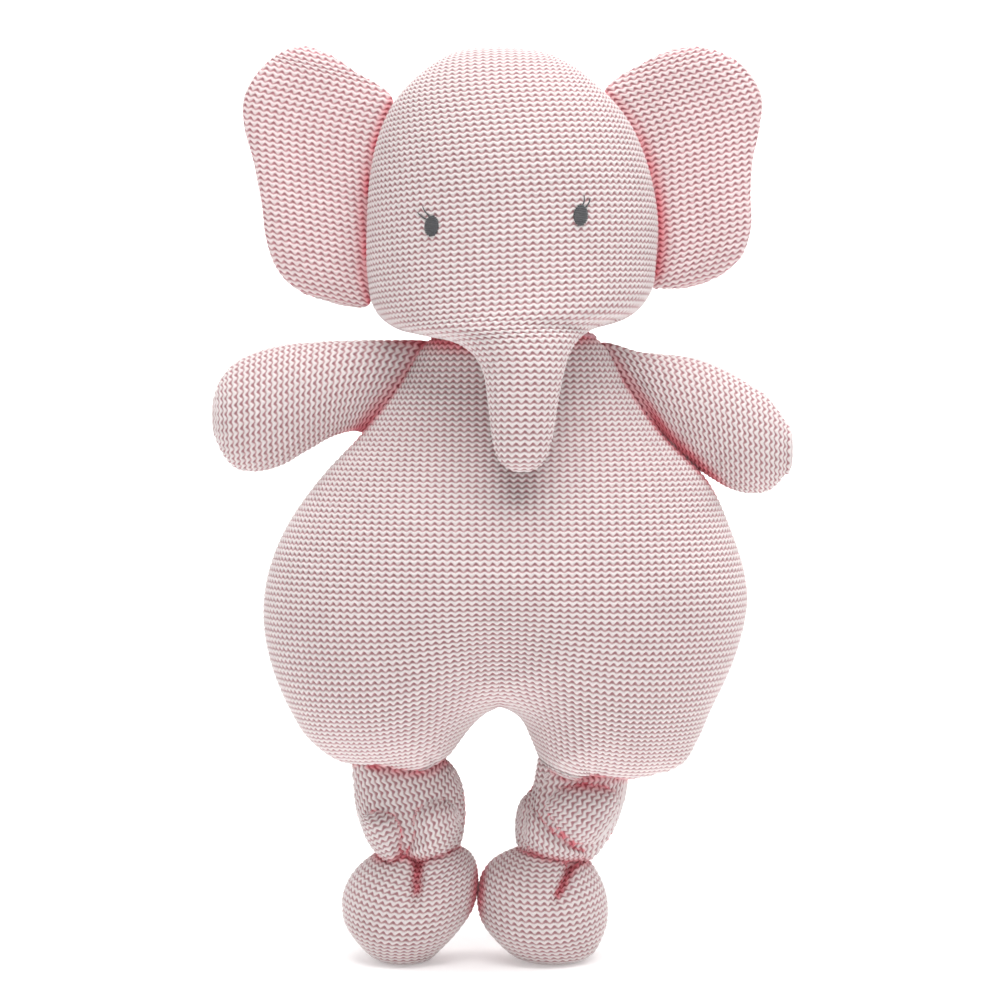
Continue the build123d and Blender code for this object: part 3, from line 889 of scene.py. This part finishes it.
def build_head():
    front_levels = row_levels([head_half(-1)], 0.0, HEAD_TOP, shares=(0.42, 0.5, 0.58))
    back_levels = row_levels([head_half(1)], 0.0, HEAD_TOP)
    sheets = [knit_sheet(head_half(-1), front_levels, out=-1), knit_sheet(head_half(1), back_levels)]
    sheets[0]["flip"] = True
    for s, name in zip(sheets, ("front", "back")):
        obj = sheets_to_object(f"head_{name}_skin", [s])
        dress(obj, KNIT)
        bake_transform(obj)
        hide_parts(f"head_{name}_panel")
        if name == "front":
            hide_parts("head_side_seam", "head_stuffing", "trunk_skin", "trunk_stuffing")
    return sheets


def build_arms():
    for name, arm in (("left", LEFT_ARM), ("right", RIGHT_ARM)):
        sign = -1 if name == "left" else 1
        halves = [arm_half(arm, face) for face in (-1, 1)]
        flips = (sign < 0, sign > 0)
        sheets = two_panels([h[0] for h in halves], 0.0, halves[0][1], flips)
        obj = sheets_to_object(f"{name}_arm_skin_knit", sheets)
        dress(obj, KNIT)
        (ux, uz), (lx, lz), _ = arm[1]
        off = unit(np.array([-(uz - lz), 0.0, ux - lx]))
        off = off * (1 if off[0] * sign > 0 else -1)
        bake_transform(obj)
        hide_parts(f"{name}_arm_skin", f"{name}_arm_stuffing", f"{name}_shoulder_stitching")


def build_ears():
    for name, outline, tilt, sign in (("left", LEFT_EAR, -13, -1), ("right", RIGHT_EAR, 15, 1)):
        halves = [pillow_half(outline, tilt, face, ear_swell(sign)) for face in (-1, 1)]
        sheets = two_panels([h[0] for h in halves], halves[0][1], halves[0][2])
        obj = sheets_to_object(f"{name}_ear_knit", sheets)
        dress(obj, EAR_KNIT)
        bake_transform(obj)
        parts = ("front_panel", "back_panel", "edge_seam", "batting", "root_stitching")
        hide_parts(*[f"{name}_ear_{part}" for part in parts])


def build_legs():
    for name, rings in FEET.items():
        sheets = two_panels([core_half(LEG_CORE[name], face) for face in (-1, 1)], 0, 1)
        for outline, middle, thick, depth, tilt in KNOTS[name]:
            swell = lobe_swell(middle, thick, depth)
            halves = [pillow_half(outline, tilt, face, swell) for face in (-1, 1)]
            sheets += two_panels([h[0] for h in halves], halves[0][1], halves[0][2])
        knot = sheets_to_object(f"{name}_leg_knot_knit", sheets)
        dress(knot, KNIT)
        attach(knot, f"{name}_leg")
        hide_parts(f"{name}_leg_knot")
        halves = [foot_half(rings, face, *FOOT_CREASE[name]) for face in (-1, 1)]
        foot = sheets_to_object(f"{name}_foot_knit", two_panels(halves, 0.0, len(rings) - 1))
        dress(foot, KNIT)
        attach(foot, f"{name}_foot")
        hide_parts(f"{name}_foot_skin", f"{name}_foot_stuffing")


def tube(path, radius, sides=8):
    """Vertices and quads of a capped round thread along a path."""
    path = np.asarray(path, float)
    ahead = unit(np.gradient(path, axis=0))
    guide = np.array([0.0, 1.0, 0.0]) if abs(ahead[0][1]) < 0.9 else np.array([1.0, 0, 0])
    side = unit(np.cross(ahead, guide))
    other = np.cross(ahead, side)
    reach = np.broadcast_to(radius, (len(path),))
    turn = np.arange(sides) / sides * 2 * math.pi
    ring = (
        path[:, None]
        + side[:, None] * (np.cos(turn)[None, :, None] * reach[:, None, None])
        + other[:, None] * (np.sin(turn)[None, :, None] * reach[:, None, None])
    )
    verts = np.concatenate([ring.reshape(-1, 3), path[:1], path[-1:]])
    n = len(path)
    i = np.arange(n - 1)[:, None] * sides
    k = np.arange(sides)[None, :]
    nxt = (k + 1) % sides
    quads = np.stack([i + k, i + nxt, i + sides + nxt, i + sides + k], 2).reshape(-1, 4)
    k = np.arange(sides)
    nxt = (k + 1) % sides
    last = (n - 1) * sides
    caps = np.concatenate([
        np.stack([nxt, k, np.full(sides, n * sides)], 1),
        np.stack([last + k, last + nxt, np.full(sides, n * sides + 1)], 1),
    ])
    return verts, quads, caps


def threads_to_object(name, tubes):
    verts, quads, caps, start = [], [], [], 0
    for v, q, c in tubes:
        verts.append(v)
        quads.append(q + start)
        caps.append(c + start)
        start += len(v)
    return make_mesh(name, np.concatenate(verts), np.concatenate(quads), np.concatenate(caps))


def face_depth(sheet):
    """A function that gives the depth of a knit sheet's surface at (across, height)."""
    base = sheet["base"].reshape(-1, 3)

    def depth(x, z):
        near = np.argsort((base[:, 0] - x) ** 2 + (base[:, 2] - z) ** 2)[:4]
        return base[near, 1].mean()

    return depth


# Eyes: centre (across, height), half sizes, and each lash from and to, measured off the centre
EYES = {
    "left": ((-26.1, 278.9), (2.55, 3.75), ((-1.5, 2.3, -5.3, 5.2), (-0.3, 3.2, -3.4, 7.4))),
    "right": ((28.5, 282.6), (2.6, 3.75), ((0.5, 3.2, 1.3, 7.6), (1.5, 2.6, 3.6, 6.6))),
}


def build_eyes(front):
    depth = face_depth(front)
    for name, ((cx, cz), (rx, rz), lashes) in EYES.items():
        tubes = []
        rows = 11
        for k in range(rows):
            share = (k + 0.5) / rows * 2 - 1
            reach = rx * math.sqrt(1 - share**2)
            z = cz + share * rz
            xs = np.linspace(-reach, reach, 9)
            slant = 0.12 * xs
            bulge = 0.75 * np.sqrt(np.clip(1 - (xs / (rx * 1.02)) ** 2, 0, 1)) * (1 - 0.4 * share**2)
            path = [(cx + x, depth(cx + x, z) - 0.35 - b, z + s) for x, s, b in zip(xs, slant, bulge)]
            tubes.append(tube(path, 0.42))
        eye = dress(threads_to_object(f"{name}_eye_stitches", tubes), EYE_THREAD)
        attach(eye, "head")
        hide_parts(f"{name}_eye")
        tubes = []
        for x0, z0, x1, z1 in lashes:
            t = np.linspace(0, 1, 9)
            bend = 0.5 * np.sin(math.pi * t)
            xs = cx + x0 + (x1 - x0) * t + bend * np.sign(x1)
            zs = cz + z0 + (z1 - z0) * t
            path = [(x, depth(x, z) - 0.75, z) for x, z in zip(xs, zs)]
            tubes.append(tube(path, 0.30 - 0.12 * t, 6))
        lash = dress(threads_to_object(f"{name}_lash_stitches", tubes), EYE_THREAD)
        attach(lash, "head")
        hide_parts(f"{name}_lashes")


def build_neck_thread():
    turn = np.linspace(0, 2 * math.pi, 181)
    level = 239.5 + 0.5 * np.sin(turn * 40)
    left, right = smooth(TORSO_LEFT, level), smooth(TORSO_RIGHT, level)
    wide, deep = (right - left) / 2 + 0.5, smooth(TORSO_DEPTH, level) + 0.5
    path = np.stack(
        [(left + right) / 2 + wide * np.cos(turn), SEAM_Y + deep * np.sin(turn), level], 1
    )
    ring = dress(threads_to_object("neck_thread", [tube(path, 0.7)]), SEAM_THREAD)
    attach(ring, "neck")
    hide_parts("neck_stitching")


def build_back_trim():
    """The closing stitches down the back, and a blank label below them."""
    tubes = []
    for k in range(20):
        z = 123 + k * 2.35
        lean = 1.5 if k % 2 else -1.5
        xs = np.linspace(-lean, lean, 5)
        y = [SEAM_Y + float(torso_depth(np.array([x]), np.array([z]))[0]) + 0.75 for x in xs]
        tubes.append(tube(np.stack([xs, y, z + np.linspace(-0.6, 0.6, 5)], 1), 0.38, 6))
    seam = dress(threads_to_object("closing_stitches", tubes), SEAM_THREAD)
    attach(seam, "body")
    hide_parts("back_closing_seam")
    wide, low, high = 9.0, 102.0, 124.0
    gx, gz = np.meshgrid(np.linspace(-wide, wide, 19), np.linspace(low, high, 25))
    depth = SEAM_Y + torso_depth(0 * gx, np.maximum(gz, 118)) + 1.4
    depth = depth + 1.5 * ease(gz, 120, 104) + 0.35 * np.sin(gx * 0.5)
    outer = np.stack([gx, depth + 0.35, gz], 2).reshape(-1, 3)
    inner = np.stack([gx, depth, gz], 2).reshape(-1, 3)
    n = len(outer)
    grid = np.arange(n).reshape(gx.shape)
    back = np.stack([grid[:-1, :-1], grid[1:, :-1], grid[1:, 1:], grid[:-1, 1:]], 2).reshape(-1, 4)
    front = back[:, ::-1] + n
    rim = np.concatenate([grid[0, :], grid[1:, -1], grid[-1, -2::-1], grid[-2:0:-1, 0]])
    nxt = np.roll(rim, -1)
    edge = np.stack([rim, nxt, nxt + n, rim + n], 1)
    verts, quads = np.concatenate([outer, inner]), np.concatenate([back, front, edge])
    label = make_mesh("blank_care_label", verts, quads)
    dress(label, LABEL_CLOTH)
    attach(label, "body")
    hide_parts("care_label")


# ---------------------------------------------------------------- stage, light and camera
def build_stage():
    """A pale sweep of paper that glows a little, more so behind, so that it stays white."""
    mat = bpy.data.materials.new("pale_paper")
    mat.use_nodes = True
    shader = mat.node_tree.nodes["Principled BSDF"]
    shader.inputs["Base Color"].default_value = (0.86, 0.86, 0.86, 1)
    shader.inputs["Roughness"].default_value = 0.9
    shader.inputs["Specular IOR Level"].default_value = 0.1
    shader.inputs["Emission Color"].default_value = (1, 1, 1, 1)
    nodes, links = mat.node_tree.nodes, mat.node_tree.links
    place = nodes.new("ShaderNodeNewGeometry")
    split = nodes.new("ShaderNodeSeparateXYZ")
    links.new(place.outputs["Position"], split.inputs[0])
    glow = nodes.new("ShaderNodeMapRange")
    glow.inputs["From Min"].default_value = 0.3
    glow.inputs["From Max"].default_value = 1.3
    glow.inputs["To Min"].default_value = 0.26
    glow.inputs["To Max"].default_value = 0.75
    links.new(split.outputs["Y"], glow.inputs["Value"])
    links.new(glow.outputs[0], shader.inputs["Emission Strength"])
    turn = np.linspace(0, math.pi / 2, 24)
    bend = [(1500 + 600 * math.sin(a), 600 - 600 * math.cos(a)) for a in turn]
    profile = [(-3000.0, 0.0)] + bend + [(2100.0, 4000.0)]
    verts = np.array([(x, y, z) for y, z in profile for x in (-5000.0, 5000.0)])
    n = len(profile)
    quads = np.array([(2 * i, 2 * i + 1, 2 * i + 3, 2 * i + 2) for i in range(n - 1)])
    floor = make_mesh("paper_sweep", verts, quads)
    floor.data.materials.append(mat)


def area_light(name, place, aim, size, power, colour=(1, 1, 1)):
    data = bpy.data.lights.new(name, "AREA")
    data.shape = "SQUARE"
    data.size = size
    data.energy = power
    data.color = colour
    light = bpy.data.objects.new(name, data)
    light.location = place
    light.rotation_euler = (Vector(aim) - Vector(place)).to_track_quat("-Z", "Y").to_euler()
    bpy.context.scene.collection.objects.link(light)


def build_light_and_camera():
    world = bpy.data.worlds.new("studio")
    bpy.context.scene.world = world
    world.use_nodes = True
    world.node_tree.nodes["Background"].inputs[0].default_value = (1, 1, 1, 1)
    world.node_tree.nodes["Background"].inputs[1].default_value = 0.30
    area_light("top_softbox", (0.08, -0.36, 1.4), (0, 0, 0.22), 1.2, 24.5)
    area_light("front_fill", (0.2, -1.6, 0.25), (0, 0, 0.12), 1.2, 1.2)
    area_light("left_rim", (-1.3, 0.7, 0.8), (0, 0, 0.16), 0.8, 5)
    area_light("right_rim", (1.3, 0.7, 0.8), (0, 0, 0.16), 0.8, 6)
    camera = bpy.data.objects.new("camera", bpy.data.cameras.new("camera"))
    camera.data.lens = 100
    camera.data.sensor_width = 36
    aim = Vector((-0.001, 0, 0.1768))
    rise = math.radians(2.0)
    distance = 1.064
    camera.location = aim + Vector((0, -math.cos(rise), math.sin(rise))) * distance
    camera.rotation_euler = (aim - camera.location).to_track_quat("-Z", "Y").to_euler()
    bpy.context.scene.collection.objects.link(camera)
    bpy.context.scene.camera = camera
    bpy.context.scene.view_settings.view_transform = "Standard"


build_light_and_camera()
build_stage()
build_torso()
front_sheet, back_sheet = build_head()
build_arms()
build_ears()
build_legs()
build_eyes(front_sheet)
build_neck_thread()
build_back_trim()
paint_crease_shade()
